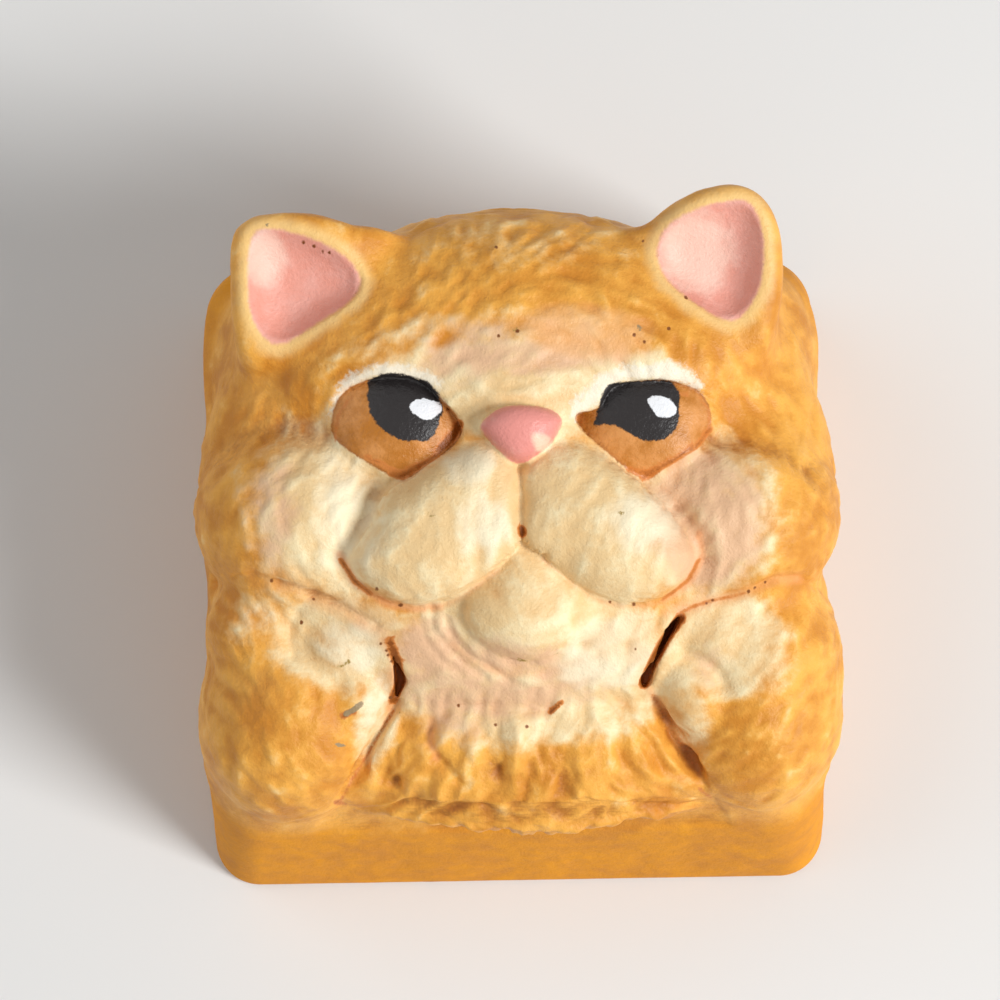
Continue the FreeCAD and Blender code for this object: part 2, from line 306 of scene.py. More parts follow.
# Where a paint lies and fades out: strength, centre u, v, half sizes, softness of the edge, turn in degrees
SPOTS = {
    "cream": (
        (1.0, -5.1, 1.3, 2.1, 2.6, 0.45, 0),
        (1.0, 4.9, 0.9, 1.9, 2.3, 0.4, -12),
        (0.45, -7.1, -1.6, 1.2, 0.9, 0.5, 0),
        (0.25, 0.0, 8.3, 3.4, 0.8, 0.5, 0),
        (0.5, -2.2, 6.1, 1.3, 0.5, 0.5, 0),
        (1.0, 0.0, 0.6, 5.0, 2.6, 0.15, 0),
        (0.95, 0.0, 4.5, 4.5, 1.4, 0.3, 0),
        (0.6, 0.4, 5.6, 3.0, 0.9, 0.5, 0),
        (0.35, -3.4, 5.6, 1.5, 0.6, 0.6, 12),
        (1.0, 0.2, -3.0, 4.3, 2.25, 0.28, 0),
        (0.9, -5.0, -2.3, 2.0, 1.3, 0.4, -8),
        (0.8, -3.9, -4.2, 0.6, 1.6, 0.45, -15),
        (0.9, 5.4, -2.5, 1.9, 1.5, 0.35, -10),
        (0.8, 4.4, -4.1, 0.6, 1.5, 0.45, 20),
    ),
    # light: paler cream paint, with painted highlights and painted light on the paws, pads, shoulder and
    # nose
    "light": (
        (1.0, -4.75, -2.4, 1.0, 0.8, 0.6, 0),
        (1.0, -4.0, -3.9, 0.35, 0.9, 0.6, -15),
        (1.0, -4.6, 1.2, 1.0, 1.8, 0.6, 0),
        (1.0, 2.4, -2.2, 1.1, 0.5, 0.6, 15),
        (1.0, 3.3, 0.9, 1.1, 0.9, 0.6, 0),
        (1.0, 2.3, -3.0, 1.5, 0.8, 0.6, 0),
        (1.0, -1.4, 2.4, 0.8, 0.6, 0.6, 0),
        (1.0, 0.62, 3.0, 0.35, 0.25, 0.5, -40),
        (1.0, 4.4, -1.55, 0.25, 0.12, 0.3, 0),
        (1.0, -7.2, -1.6, 0.5, 0.4, 0.6, 0),
        (1.0, -1.0, 0.8, 0.8, 0.9, 0.6, 0),
    ),
    # rosy: pinkish paint on the cheeks, brow and neck, and painted shade on the neck below the chin's left
    # side
    "rosy_paint_and_shade": (
        (1.0, 5.0, 0.9, 1.7, 2.0, 0.4, 0),
        (0.8, -7.0, 1.2, 1.1, 1.9, 0.5, 0),
        (0.9, -1.6, 5.5, 1.2, 1.1, 0.5, 0),
        (0.9, 0.3, 5.7, 3.4, 0.9, 0.4, 0),
        (1.1, -2.5, -2.4, 0.9, 0.9, 0.5, 0),
        (0.9, -0.7, -3.4, 3.2, 1.2, 0.5, 0),
        (0.8, -2.3, -4.8, 1.3, 0.8, 0.5, 0),
        (0.7, 5.2, -3.1, 0.8, 0.7, 0.5, 0),
    ),
    "peach": (
        (1.0, 1.9, 6.0, 1.9, 0.8, 0.4, -5),
        (0.6, 3.0, -2.4, 1.3, 0.9, 0.5, 0),
        (0.6, -4.2, -1.6, 1.2, 0.5, 0.5, -20),
    ),
    # pale: a painted highlight on the inside of each ear
    "painted_ear_highlight": (
        (1.0, -6.8, 8.2, 0.6, 0.8, 0.6, 0),
        (1.0, 4.9, 8.2, 1.1, 1.2, 0.6, 0),
    ),
}

# Thin painted marks, as lines on the face: points, half width, strength
MARKS = {
    "blush": (
        (((-4.9, 0.1), (-4.5, -0.7), (-3.64, -1.27), (-2.9, -1.43), (-2.2, -1.38)), 0.12, 0.9),
        (((-2.2, -1.38), (-1.54, -1.1), (-0.63, -0.38)), 0.1, 0.6),
        (((0.6, -0.12), (1.17, -0.7), (1.91, -1.24), (2.96, -1.48), (3.87, -1.34)), 0.08, 0.6),
        (((3.87, -1.34), (4.6, -0.8), (4.95, -0.1), (4.85, 0.5)), 0.12, 0.9),
        (((-7.3, -0.5), (-6.27, -0.85), (-5.07, -1.32), (-3.98, -1.9), (-3.55, -2.4)), 0.34, 0.45),
        (((4.0, -1.62), (5.16, -1.35), (6.14, -1.15), (7.0, -0.74), (7.61, -0.75)), 0.2, 0.7),
        (((-3.75, -2.25), (-3.45, -2.9), (-3.45, -3.5), (-3.65, -4.2)), 0.14, 0.8),
        (((-3.65, -4.2), (-4.25, -5.4), (-5.0, -6.7)), 0.1, 0.4),
        (((4.36, -1.8), (3.7, -2.8), (3.42, -3.6), (3.8, -4.2)), 0.12, 0.7),
        (((3.8, -4.2), (4.75, -5.9), (5.1, -6.5)), 0.1, 0.4),
        (((-1.9, -2.4), (-1.3, -2.95), (-0.4, -3.25), (0.5, -3.3)), 0.14, 0.5),
        (((-2.5, -4.5), (-2.55, -5.1), (-2.35, -5.6)), 0.12, 0.8),
    ),
    "wash": (
        (((-4.88, -0.05), (-4.5, -0.66), (-4.1, -0.98)), 0.05, 0.75),
        (((-4.1, -0.98), (-3.64, -1.2), (-2.9, -1.38)), 0.03, 0.35),
        (((3.87, -1.27), (4.56, -0.76), (4.85, -0.2)), 0.04, 0.6),
        (((0.02, 0.7), (0.05, 0.58)), 0.09, 1.0),
        (((4.35, 4.3), (4.62, 4.28)), 0.05, 0.7),
        (((-4.15, 2.72), (-3.2, 2.26), (-2.8, 2.48)), 0.06, 0.6),
        (((3.0, 2.28), (3.5, 2.12), (4.1, 2.5)), 0.1, 0.6),
        (((-1.62, 3.55), (-1.8, 3.25), (-2.15, 2.9)), 0.12, 0.9),
        (((-2.2, 2.75), (-3.15, 2.16), (-3.5, 2.27)), 0.07, 0.65),
        (((3.35, 2.05), (3.95, 2.38), (4.9, 2.95), (5.22, 3.35)), 0.07, 0.7),
        (((5.22, 3.35), (5.16, 3.9), (4.95, 4.2)), 0.04, 0.5),
        (((-4.98, 3.2), (-4.92, 3.8), (-4.5, 4.4)), 0.04, 0.5),
        (((-6.4, -0.8), (-5.07, -1.29)), 0.03, 0.3),
        (((4.3, -1.7), (4.67, -1.5), (5.16, -1.35), (6.14, -1.15)), 0.04, 0.5),
        (((-3.6, -2.3), (-3.4, -2.9), (-3.32, -3.4), (-3.55, -3.95)), 0.11, 0.95),
        (((-3.55, -4.25), (-4.25, -5.4), (-4.75, -6.2), (-5.15, -6.9)), 0.03, 0.5),
        (((4.36, -1.8), (3.92, -2.4), (3.6, -3.0), (3.36, -3.6)), 0.13, 0.95),
        (((3.6, -3.9), (4.2, -4.9), (4.75, -5.9)), 0.03, 0.4),
        (((0.78, -4.33), (1.08, -4.07)), 0.05, 0.9),
        (((4.95, -6.6), (5.3, -6.9)), 0.05, 0.5),
        (((-5.2, -6.82), (-4.98, -6.92)), 0.06, 0.7),
        (((-4.92, -4.33), (-4.62, -4.22)), 0.07, 0.9),
    ),
    "olive": (
        (((-0.12, -2.84), (0.25, -2.93)), 0.03, 0.75),
        (((0.62, -2.86), (1.0, -2.68)), 0.02, 0.6),
        (((-5.02, -3.0), (-4.85, -2.93), (-4.72, -2.76)), 0.035, 0.75),
        (((-5.6, -3.15), (-5.35, -3.0), (-5.25, -2.78)), 0.02, 0.5),
        (((-3.42, -4.34), (-3.26, -4.2)), 0.03, 0.5),
        (((1.25, -3.06), (1.38, -3.03)), 0.04, 0.5),
        (((-2.46, 1.12), (-2.38, 1.1)), 0.09, 0.55),
        (((2.64, 1.07), (2.72, 1.05)), 0.09, 0.55),
        (((-0.06, 6.06), (0.1, 6.0)), 0.06, 0.55),
    ),
    "grey": (
        (((-4.85, -4.28), (-4.62, -4.18), (-4.42, -4.02)), 0.06, 1.0),
        (((-5.12, -5.13), (-4.95, -5.17)), 0.05, 0.9),
        (((-6.72, 9.05), (-6.62, 9.03)), 0.06, 0.7),
        (((3.28, 6.1), (3.32, 6.08)), 0.08, 0.6),
    ),
}
PINHOLES = (
    (-3.85, -2.37), (-3.7, -2.56), (-3.66, -2.68), (-3.56, -2.86), (-3.52, -3.69), (-3.61, -3.87),
    (-5.67, -1.12), (-6.01, -1.76), (-6.78, -0.59), (5.07, -1.4), (5.25, -1.32), (6.23, -1.09),
    (6.4, -0.99), (6.68, -0.85), (3.06, -1.39), (2.41, -1.31), (3.11, -2.62), (-3.27, -1.31),
    (-3.9, -0.85), (0.12, -4.71), (-0.74, -4.66), (-1.75, -4.11),
    (-5.75, 8.56), (-5.47, 8.46), (-5.23, 8.32), (-5.05, 8.29), (4.6, 6.93), (4.1, 6.06),
    (3.15, 5.89), (-0.51, 5.9), (0.0, 6.02), (3.43, 5.7), (3.48, 8.51), (-0.52, 8.36),
)
PINHOLE_RADIUS = 0.055

# Paint stays on the front: it fades in between these values of w
FRONT = (2.0, 3.0)
DEEP_FRONT = (2.6, 3.4)

# Fur: height of its strokes, and how much more they stand up on the crown, the chest and its ledge
COAT_HEIGHT = 0.021
CROWN_EXTRA = 0.006
CHEST_EXTRA = 0.4
LEDGE_EXTRA = 0.6
# Strokes: share of fine and clumped ones, height of the broad lumps and of the chest's lobes
FINE_SHARE = 0.85
CLUMP_SHARE = 0.7
LUMP_HEIGHT = 0.02
LOBE_HEIGHT = 0.1
# The ears are plainer by this part, at this distance to their outline and height w
EAR_CALM = 0.8
EAR_EDGE = (0.6, 0.1)
EAR_RISE = (2.4, 3.2)
# So are the skirt's sides, at this distance to them and height z
SKIRT_CALM = 0.8
SKIRT_EDGE = (0.30, 0.05)
SKIRT_RISE = (7.4, 6.9)
# Low on the back of the head, below these w and above these v
BACK_CALM = 0.8
BACK_LOW = (3.3, 2.3)
BACK_FROM = (3.0, 4.5)
# There is none inside the hollow, and nothing moves at the rim, below these z
INSIDE = (-0.3, -0.6)
RIM_RISE = (0.1, 0.7)
# Where the fur lies flatter: map, how much, distance to its outline, and height w
CALM = (
    ("pad", 0.35, (0.0, -0.3), (5.0, 5.6)),
    ("eye", 0.93, (0.1, -0.05), (4.0, 4.6)),
    ("nose", 0.97, (0.12, -0.05), (5.0, 5.6)),
    ("ear", EAR_CALM, EAR_EDGE, EAR_RISE),
    ("pink", 0.6, (0.1, 0.0), (3.0, 3.6)),
)
# Chin and paws, where it is lower by this part: centre u, v, half sizes, softness of the edge
BARE_PART = 0.45
BARE_SPOTS = ((0.08, -1.5, 1.9, 1.4, 0.2), (-4.8, -2.7, 1.6, 1.7, 0.3), (5.2, -2.9, 1.7, 1.8, 0.3))
# Strokes run round the first point and, on the chest, away from the second
COAT_CENTRE = (0.0, 2.0)
CHEST_ROOT = (0.2, 1.5)
# On the muzzle they run upwards: its sides, foot and head fade out so, and the strokes splay
MUZZLE_SIDES = (5.2, 4.2)
MUZZLE_FOOT = (-1.7, -1.2)
MUZZLE_HEAD = (3.3, 2.4)
MUZZLE_SPLAY = (0.35, 2.0)
# The sides' strokes lie to and fro on a strip of the map
HALF_STRIP = 9.0
SIDE_ROUND = 8.5
SIDE_STRETCH = 1.3

# Colours as shown, 0 to 255
ORANGE = (241, 175, 76)
ORANGE_DEEP = (206, 134, 44)
ORANGE_LIGHT = (246, 194, 110)
SKIRT_ORANGE = (232, 154, 26)
CREAM = (234, 200, 146)
CREAM_LIGHT = (246, 228, 184)
# Palest cream, also used as painted highlight
PALE_CREAM_AND_HIGHLIGHT = (247, 234, 202)
# Rosy paint, also used as painted shade below the chin
ROSY_AND_SHADE = (228, 185, 146)
PEACH = (240, 178, 114)
# Blush of the painted rims and folds, also used as painted shade in recesses
BLUSH_AND_SHADE = (234, 160, 104)
# Brown of the wash lines and iris rims, also used as painted shade in creases
BROWN_WASH_AND_SHADE = (140, 74, 16)
WASH_LIGHT = (206, 128, 62)
WHITE = (244, 236, 216)
IRIS = (220, 152, 86)
IRIS_DEEP = (182, 114, 38)
OLIVE = (160, 132, 66)
GREY = (156, 134, 100)
PIN_BROWN = (124, 70, 26)
PUPIL = (38, 34, 34)
PUPIL_WORN = (78, 70, 64)
GLINT = (240, 242, 246)
NOSE_PINK = (232, 150, 140)
EAR_PINK = (236, 176, 162)
EAR_PINK_DEEP = (230, 158, 140)
# Pale pink of the painted highlights in the ears and on the nose
PALE_PINK_HIGHLIGHT = (245, 212, 194)
# Pale yellow of the ears' rims, part paint, part painted highlight
EAR_RIM_PALE_AND_HIGHLIGHT = (246, 208, 140)

# Noises that roughen the paint: turns per millimetre, detail and roughness
NOISES = {
    "broad": (0.45, 3.0, 0.6),
    "mottle": (1.6, 4.0, 0.65),
    "speckle": (6.0, 3.0, 0.7),
    "grit": (13.0, 2.0, 0.6),
}
RAGGED = 0.10
ROUGHNESS = 0.46
SKIRT_ROUGHER = 0.30
MOTTLE_ROUGHER = 0.18
WET_SMOOTHER = 0.10
SPECULAR = 0.28
BUMP_STRENGTH = 0.8
BUMP_HEIGHT = 0.04

# Camera as in the photograph: from above, a little in front and to the left
TARGET = Vector((0.0, 0.0, 5.0)) * MM
CAMERA_DISTANCE = 105.0 * MM
CAMERA_RISE = math.radians(80.0)
CAMERA_SIDE = -0.016
CAMERA_ROLL = math.radians(0.9)
SENSOR = 36.0
FOCAL_PIXELS = 3652.0
IMAGE_SIZE = 1000.0
TARGET_PIXEL = (517.0, 555.0)
WORLD_STRENGTH = 0.30
FLOOR_SIZE = 1.2
FLOOR_COLOUR = (0.78, 0.78, 0.77, 1)
FLOOR_ROUGHNESS = 0.8
# Lamps: name, place in metres, size and power
LAMPS = (("key", (0.18, -0.09, 0.17), 0.09, 0.64), ("fill", (-0.20, 0.06, 0.20), 0.25, 0.19))

# Face map: a square grid over the face, used to look up outlines and strokes quickly
MAP_STEP = 0.05
MAP_U = np.arange(-10.5, 10.5, MAP_STEP)
MAP_V = np.arange(-11.0, 12.0, MAP_STEP)


def face_axes(x, y, z):
    """u, v, w of points given in the part's axes."""
    rise = z - FACE_HEIGHT
    return x, y * math.cos(LEAN) + rise * math.sin(LEAN), rise * math.cos(LEAN) - y * math.sin(LEAN)


def part_point(u, v, w):
    """x, y, z in the part's axes of a point given in the face axes."""
    y = v * math.cos(LEAN) - w * math.sin(LEAN)
    z = FACE_HEIGHT + v * math.sin(LEAN) + w * math.cos(LEAN)
    return np.array((u, y, z))


def smooth_min(a, b, blend):
    reach = np.maximum(blend - np.abs(a - b), 0.0)
    return np.minimum(a, b) - reach * reach / (4.0 * blend)


def smooth_max(a, b, blend):
    return -smooth_min(-a, -b, blend)


def carved(a, b, blend):
    """Form a with form b cut out of it."""
    return smooth_max(a, -b, blend)


def ease(low, high, value):
    """0 at low to 1 at high, with soft ends."""
    t = np.clip((value - low) / (high - low), 0.0, 1.0)
    return t * t * (3.0 - 2.0 * t)


def ellipsoid(u, v, w, form):
    """Approximate signed distance to an ellipsoid in the face axes."""
    centre_u, centre_v, centre_w, half_u, half_v, half_w, turn = form[:7]
    angle = math.radians(turn)
    du, dv, dw = u - centre_u, v - centre_v, w - centre_w
    pu = math.cos(angle) * du + math.sin(angle) * dv
    pv = math.cos(angle) * dv - math.sin(angle) * du
    inner = np.sqrt((pu / half_u) ** 2 + (pv / half_v) ** 2 + (dw / half_w) ** 2)
    outer = np.sqrt((pu / half_u**2) ** 2 + (pv / half_v**2) ** 2 + (dw / half_w**2) ** 2)
    return inner * (inner - 1.0) / np.maximum(outer, 1e-6)


def closed_curve(corners, steps=4):
    """A smooth closed curve through the corners, as points."""
    points = np.array(corners, float)
    before, after, beyond = (np.roll(points, shift, 0) for shift in (1, -1, -2))
    rows = []
    for t in np.arange(steps) / steps:
        straight = 2 * points + (after - before) * t
        bent = (2 * before - 5 * points + 4 * after - beyond) * t**2
        turned = (3 * points - before - 3 * after + beyond) * t**3
        rows.append((straight + bent + turned) / 2)
    return np.stack(rows, 1).reshape(-1, 2)


def run_distance(start, end):
    """Squared distance on the face map to one straight run."""
    along = np.subtract(end, start)
    pu = MAP_U[:, None] - start[0]
    pv = MAP_V[None, :] - start[1]
    t = np.clip((pu * along[0] + pv * along[1]) / along.dot(along), 0.0, 1.0)
    return (pu - t * along[0]) ** 2 + (pv - t * along[1]) ** 2


def line_distance(points):
    """Distance on the face map to a line through some points."""
    return np.sqrt(np.min([run_distance(a, b) for a, b in zip(points, points[1:])], 0))


def outline_map(corners):
    """Signed distance on the face map to a smooth closed outline, negative inside."""
    points = closed_curve(corners)
    ends = np.roll(points, -1, 0)
    nearest = np.min([run_distance(a, b) for a, b in zip(points, ends)], 0)
    inside = np.zeros(nearest.shape, bool)
    for (au, av), (bu, bv) in zip(points, ends):
        if av != bv:
            crosses = (av > MAP_V[None, :]) != (bv > MAP_V[None, :])
            inside ^= crosses & (MAP_U[:, None] < au + (bu - au) * (MAP_V[None, :] - av) / (bv - av))
    return np.where(inside, -1.0, 1.0) * np.sqrt(nearest)


def look_up(table, u, v):
    """Values of a face map at any points, between its grid points by bilinear weights."""
    fu = np.clip((u - MAP_U[0]) / MAP_STEP, 0, len(MAP_U) - 1.001)
    fv = np.clip((v - MAP_V[0]) / MAP_STEP, 0, len(MAP_V) - 1.001)
    iu, iv = fu.astype(int), fv.astype(int)
    fu, fv = fu - iu, fv - iv
    low = table[iu, iv] * (1 - fv) + table[iu, iv + 1] * fv
    high = table[iu + 1, iv] * (1 - fv) + table[iu + 1, iv + 1] * fv
    return low * (1 - fu) + high * fu


def blurred(table, reach, times=3):
    """Box blur along every axis, repeated, with a half width in cells."""
    width = 2 * reach + 1
    for _ in range(times):
        for axis, count in enumerate(table.shape):
            edges = [(reach + 1, reach) if i == axis else (0, 0) for i in range(table.ndim)]
            total = np.cumsum(np.pad(table, edges, mode="edge"), axis=axis, dtype=np.float64)
            upper = np.take(total, np.arange(count) + width, axis)
            lower = np.take(total, np.arange(count), axis)
            table = ((upper - lower) / width).astype(np.float32)
    return table


def tapered_box(x, y, z, levels):
    """Signed distance to a rounded rectangle whose sides draw in with height."""
    heights, *columns = zip(*levels)
    left, right, front, back, radius = (np.interp(z, heights, column) for column in columns)
    half_x = HALF_RIM - (left + right) / 2
    half_y = HALF_RIM - (front + back) / 2
    middle_x, middle_y = (left - right) / 2, (front - back) / 2
    px = np.abs(x - middle_x) - half_x + radius
    py = np.abs(y - middle_y) - half_y + radius
    outside = np.sqrt(np.maximum(px, 0) ** 2 + np.maximum(py, 0) ** 2)
    return outside + np.minimum(np.maximum(px, py), 0) - radius


class Clay:
    """A signed distance grid in millimetres that forms are joined to and cut from."""

    def __init__(self):
        low, high = np.array(CLAY_BOX)
        counts = np.ceil((high - low) / VOXEL).astype(int) + 1
        self.low = low
        self.axes = [start + VOXEL * np.arange(count) for start, count in zip(low, counts)]
        self.distance = np.full(counts, FAR, np.float32)

    def apply(self, centre, reach, shape, join, blend):
        """Joins shape(x, y, z) to the block of the grid within reach of the centre."""
        centre, reach = np.asarray(centre, float), np.asarray(reach, float)
        first = np.maximum(np.floor((centre - reach - self.low) / VOXEL).astype(int), 0)
        last = np.ceil((centre + reach - self.low) / VOXEL).astype(int) + 1
        block = tuple(slice(a, max(b, a)) for a, b in zip(first, last))
        x, y, z = (axis[part].astype(np.float32) for axis, part in zip(self.axes, block))
        form = shape(x[:, None, None], y[None, :, None], z[None, None, :])
        softness = blend(z) if callable(blend) else blend
        self.distance[block] = join(self.distance[block], form, softness)

    def on_face(self, centre, reach, shape, join, blend):
        """The same for a shape(u, v, w) written in the face axes."""
        def turned(x, y, z):
            return shape(*face_axes(x, y, z))

        self.apply(part_point(*centre), np.full(3, reach), turned, join, blend)

    def add(self, form, foot=0.0):
        """Joins an ellipsoid as softly as it says, and by foot more low down."""
        self.on_face(
            form[:3],
            max(form[3:6]) + 1.2,
            lambda u, v, w: ellipsoid(u, v, w, form),
            smooth_min,
            lambda z: form[7] + foot * ease(*ARM_FOOT_HEIGHTS, z),
        )

    def at(self, table, points):
        """Values of a table on this grid at points, by the nearest cell."""
        index = np.rint((points - self.low) / VOXEL).astype(int)
        index = np.clip(index, 0, np.array(table.shape) - 1)
        return table[index[:, 0], index[:, 1], index[:, 2]]


def place_over(outline, height):
    """A point in the face axes over the middle of an outline."""
    return (*np.mean(outline, 0), height)


def add_skirt(clay):
    top = SKIRT_LEVELS[-1][0]

    def skirt(x, y, z):
        return smooth_max(tapered_box(x, y, z, SKIRT_LEVELS), np.maximum(-z, z - top), BLEND["skirt_top"])

    clay.apply((0, 0, top / 2), (HALF_RIM + 0.5, HALF_RIM + 0.5, top), skirt, smooth_min, BLEND["sharp"])


def add_ear(clay, outline, pink):
    """An upright flap with a bowl scooped out of its face."""
    wall_map, pink_map = outline_map(outline), outline_map(pink)
    bowl_map = blurred(pink_map, BOWL_BLUR)
    centre = place_over(outline, (EAR_FOOT + EAR_TOP) / 2)

    def top_of(u, v):
        inner = np.maximum(EAR_INNER - np.abs(u), 0.0)
        return EAR_TOP + EAR_SLOPE * (v - centre[1]) - EAR_INNER_FALL * inner**2

    def flap(u, v, w):
        lean = EAR_LEAN * np.maximum(EAR_TOP - EAR_UPRIGHT - w, 0.0)
        topped = smooth_max(look_up(wall_map, u, v + lean), w - top_of(u, v), BLEND["ear_top"])
        return smooth_max(topped, EAR_FOOT - w, BLEND["ear_foot"])

    def bowl(u, v, w):
        depth = BOWL_DEPTH * (1.0 - np.exp(np.minimum(look_up(bowl_map, u, v), 0.0) / BOWL_FALL))
        return np.maximum(look_up(pink_map, u, v), (top_of(u, v) + 0.02 - depth - w) * BOWL_WALL)

    clay.on_face(centre, EAR_REACH, flap, smooth_min, BLEND["ear"])
    clay.on_face(centre, EAR_REACH, bowl, carved, BLEND["bowl"])


def add_eye(clay, outline, ball):
    """An opening with an eyeball in it."""
    edge_map = outline_map(outline)
    height, reach = BLOCKS["eye"]
    centre = place_over(outline, height)

    def opening(u, v, w):
        return np.maximum(look_up(edge_map, u, v), EYE_FLOOR - w)

    clay.on_face(centre, reach, opening, carved, BLEND["eye"])
    clay.on_face(centre, reach, lambda u, v, w: ellipsoid(u, v, w, ball), smooth_min, BLEND["sharp"])


def add_nose(clay):
    edge_map = outline_map(NOSE)
    height, reach = BLOCKS["nose"]

    def lobe(u, v, w):
        fall = NOSE_FALL[0] * (u - NOSE_DOME[0]) ** 2 + NOSE_FALL[1] * (v - NOSE_DOME[1]) ** 2
        return smooth_max(look_up(edge_map, u, v), w - NOSE_TOP + fall, BLEND["nose_top"])

    clay.on_face(place_over(NOSE, height), reach, lobe, smooth_min, BLEND["nose"])


def cut_gap(clay, outline):
    """A slot between a paw and the chest that narrows as it goes down."""
    edge_map = outline_map(outline)
    height, reach = BLOCKS["gap"]

    def slot(u, v, w):
        wall = look_up(edge_map, u, v) + GAP_SLOPE * (GAP_UPPER - w)
        return np.maximum(wall, GAP_FLOOR - w)

    clay.on_face(place_over(outline, height), reach, slot, carved, BLEND["gap"])


def add_pad(clay, outline, dome):
    """One of the muzzle's two pillows."""
    edge_map = outline_map(outline)
    height, reach = BLOCKS["pad"]

    def pillow(u, v, w):
        across, along, near_eye = PAD_FALL
        top = PAD_TOP - across * (u - dome[0]) ** 2 - along * (v - dome[1]) ** 2
        top = top - near_eye * np.maximum(v - PAD_FALL_FROM, 0.0) ** 2
        outer = ease(*PAD_ROUNDING_FROM, np.abs(u))
        rounding = PAD_ROUNDING[0] + (PAD_ROUNDING[1] - PAD_ROUNDING[0]) * outer
        return smooth_max(look_up(edge_map, u, v), w - top, rounding)

    clay.on_face(place_over(outline, height), reach, pillow, smooth_min, BLEND["pad"])


def add_chest(clay, rng):
    """The chest, cut off along a ragged line where the fringe hangs over the skirt."""
    chest = Clay()
    for form in CHEST_FORMS:
        chest.add(form)
    along, down = np.array(FRINGE_EDGE).T
    ragged = np.interp(FRINGE_PLACES, along, down)
    ragged = ragged + FRINGE_RAGGED * rng.standard_normal(len(FRINGE_PLACES))

    def above(u, v, w):
        edge = np.interp(u.ravel(), FRINGE_PLACES, ragged).reshape(u.shape)
        return smooth_max(edge - v, FRINGE_LOW - w, BLEND["fringe_foot"])

    chest.on_face((0, -6.5, 1.5), 8.0, above, smooth_max, BLEND["fringe"])
    clay.distance = smooth_min(clay.distance, chest.distance, BLEND["chest"])


def hollow_out(clay):
    """The open underside, then the post back in, then its cross socket."""

    def hollow(x, y, z):
        return smooth_max(tapered_box(x, y, z, HOLLOW_LEVELS), z - HOLLOW_DEPTH, BLEND["hollow_top"])

    def post(x, y, z):
        return smooth_max(np.sqrt(x * x + y * y) - POST_RADIUS, POST_RECESS - z, BLEND["post_end"])

    def cross(x, y, z):
        bar = np.maximum(np.abs(x) - CROSS_HALF_LENGTH, np.abs(y) - CROSS_HALF_WIDTHS[0])
        upright = np.maximum(np.abs(x) - CROSS_HALF_WIDTHS[1], np.abs(y) - CROSS_HALF_LENGTH)
        return np.maximum(np.minimum(bar, upright), z - POST_RECESS - CROSS_DEPTH)

    middle = (0, 0, HOLLOW_DEPTH / 2)
    wide, narrow = HALF_RIM, POST_RADIUS + 1.2
    clay.apply(middle, (wide, wide, HOLLOW_DEPTH / 2 + 0.8), hollow, carved, BLEND["hollow"])
    clay.apply(middle, (narrow, narrow, HOLLOW_DEPTH / 2 + 0.5), post, smooth_min, BLEND["post"])
    clay.apply((0, 0, 1.5), (2.6, 2.6, 3.2), cross, carved, BLEND["sharp"])


def sculpt(rng):
    clay = Clay()
    add_skirt(clay)
    for form in HEAD_FORMS:
        clay.add(form)
    add_ear(clay, LEFT_EAR, LEFT_EAR_PINK)
    add_ear(clay, RIGHT_EAR, RIGHT_EAR_PINK)
    add_chest(clay, rng)
    for form in LEFT_ARM_FORMS + RIGHT_ARM_FORMS:
        clay.add(form, ARM_FOOT)
    for outline in GAPS:
        cut_gap(clay, outline)
    for form in CHIN_FORMS:
        clay.add(form)
    add_pad(clay, LEFT_PAD, PAD_DOMES[0])
    add_pad(clay, RIGHT_PAD, PAD_DOMES[1])
    add_eye(clay, LEFT_EYE, LEFT_EYEBALL)
    add_eye(clay, RIGHT_EYE, RIGHT_EYEBALL)
    add_nose(clay)
    hollow_out(clay)
    return clay


def mesh_of(clay):
    """The clay's surface as a mesh in metres."""
    grid = openvdb.FloatGrid(FAR)
    grid.copyFromArray(clay.distance)
    grid.transform = openvdb.createLinearTransform(voxelSize=1.0)
    points, triangles, quads = grid.convertToPolygons(isovalue=0.0, adaptivity=0.0)
    points = (points * VOXEL + clay.low) * MM
    mesh = bpy.data.meshes.new("keycap_sculpt")
    mesh.from_pydata(points.tolist(), [], quads.tolist() + triangles.tolist())
    mesh.update()
    return mesh


def surface(mesh):
    """The mesh's points in millimetres and its normals."""
    points = np.empty(len(mesh.vertices) * 3, np.float32)
    normals = np.empty_like(points)
    mesh.vertices.foreach_get("co", points)
    mesh.vertex_normals.foreach_get("vector", normals)
    return points.reshape(-1, 3) / MM, normals.reshape(-1, 3)


def grain(rng, reach):
    """Smooth unit noise on the face map with features about that many cells across."""
    table = blurred(rng.standard_normal((len(MAP_U), len(MAP_V))).astype(np.float32), reach)
    return table / table.std()


def chest_part(u, v):
    """1 on the chest below the neck, 0 elsewhere."""
    part = ease(*CHEST_TOP, v)
    for outside, inside, slant in CHEST_SIDES:
        part = part * ease(outside, inside, u - slant * (v - CHEST_MIDDLE))
    return part


def ledge_part(u, v):
    """1 on the chest's ledge, 0 elsewhere."""
    return chest_part(u, v) * ease(TIER_EDGE + TIER_FADE, TIER_EDGE - TIER_FADE, v)


def stroke_angle():
    """Direction of the fur's strokes on the face map, in radians."""
    u, v = np.meshgrid(MAP_U, MAP_V, indexing="ij")
    around = np.arctan2(v - COAT_CENTRE[1], u - COAT_CENTRE[0]) + math.pi / 2
    down = np.arctan2(v - CHEST_ROOT[1], u - CHEST_ROOT[0])
    chest, ledge = chest_part(u, v), ledge_part(u, v)
    muzzle = ease(*MUZZLE_SIDES, np.abs(u)) * ease(*MUZZLE_FOOT, v) * ease(*MUZZLE_HEAD, v)
    up = math.pi / 2 - MUZZLE_SPLAY[0] * np.tanh(u / MUZZLE_SPLAY[1])
    cos2, sin2 = np.cos(2 * around), np.sin(2 * around)
    for weight, angle in ((chest, down), (ledge, 0 * u), (muzzle, up)):
        cos2 = cos2 * (1 - weight) + np.cos(2 * angle) * weight
        sin2 = sin2 * (1 - weight) + np.sin(2 * angle) * weight
    return np.arctan2(sin2, cos2) / 2


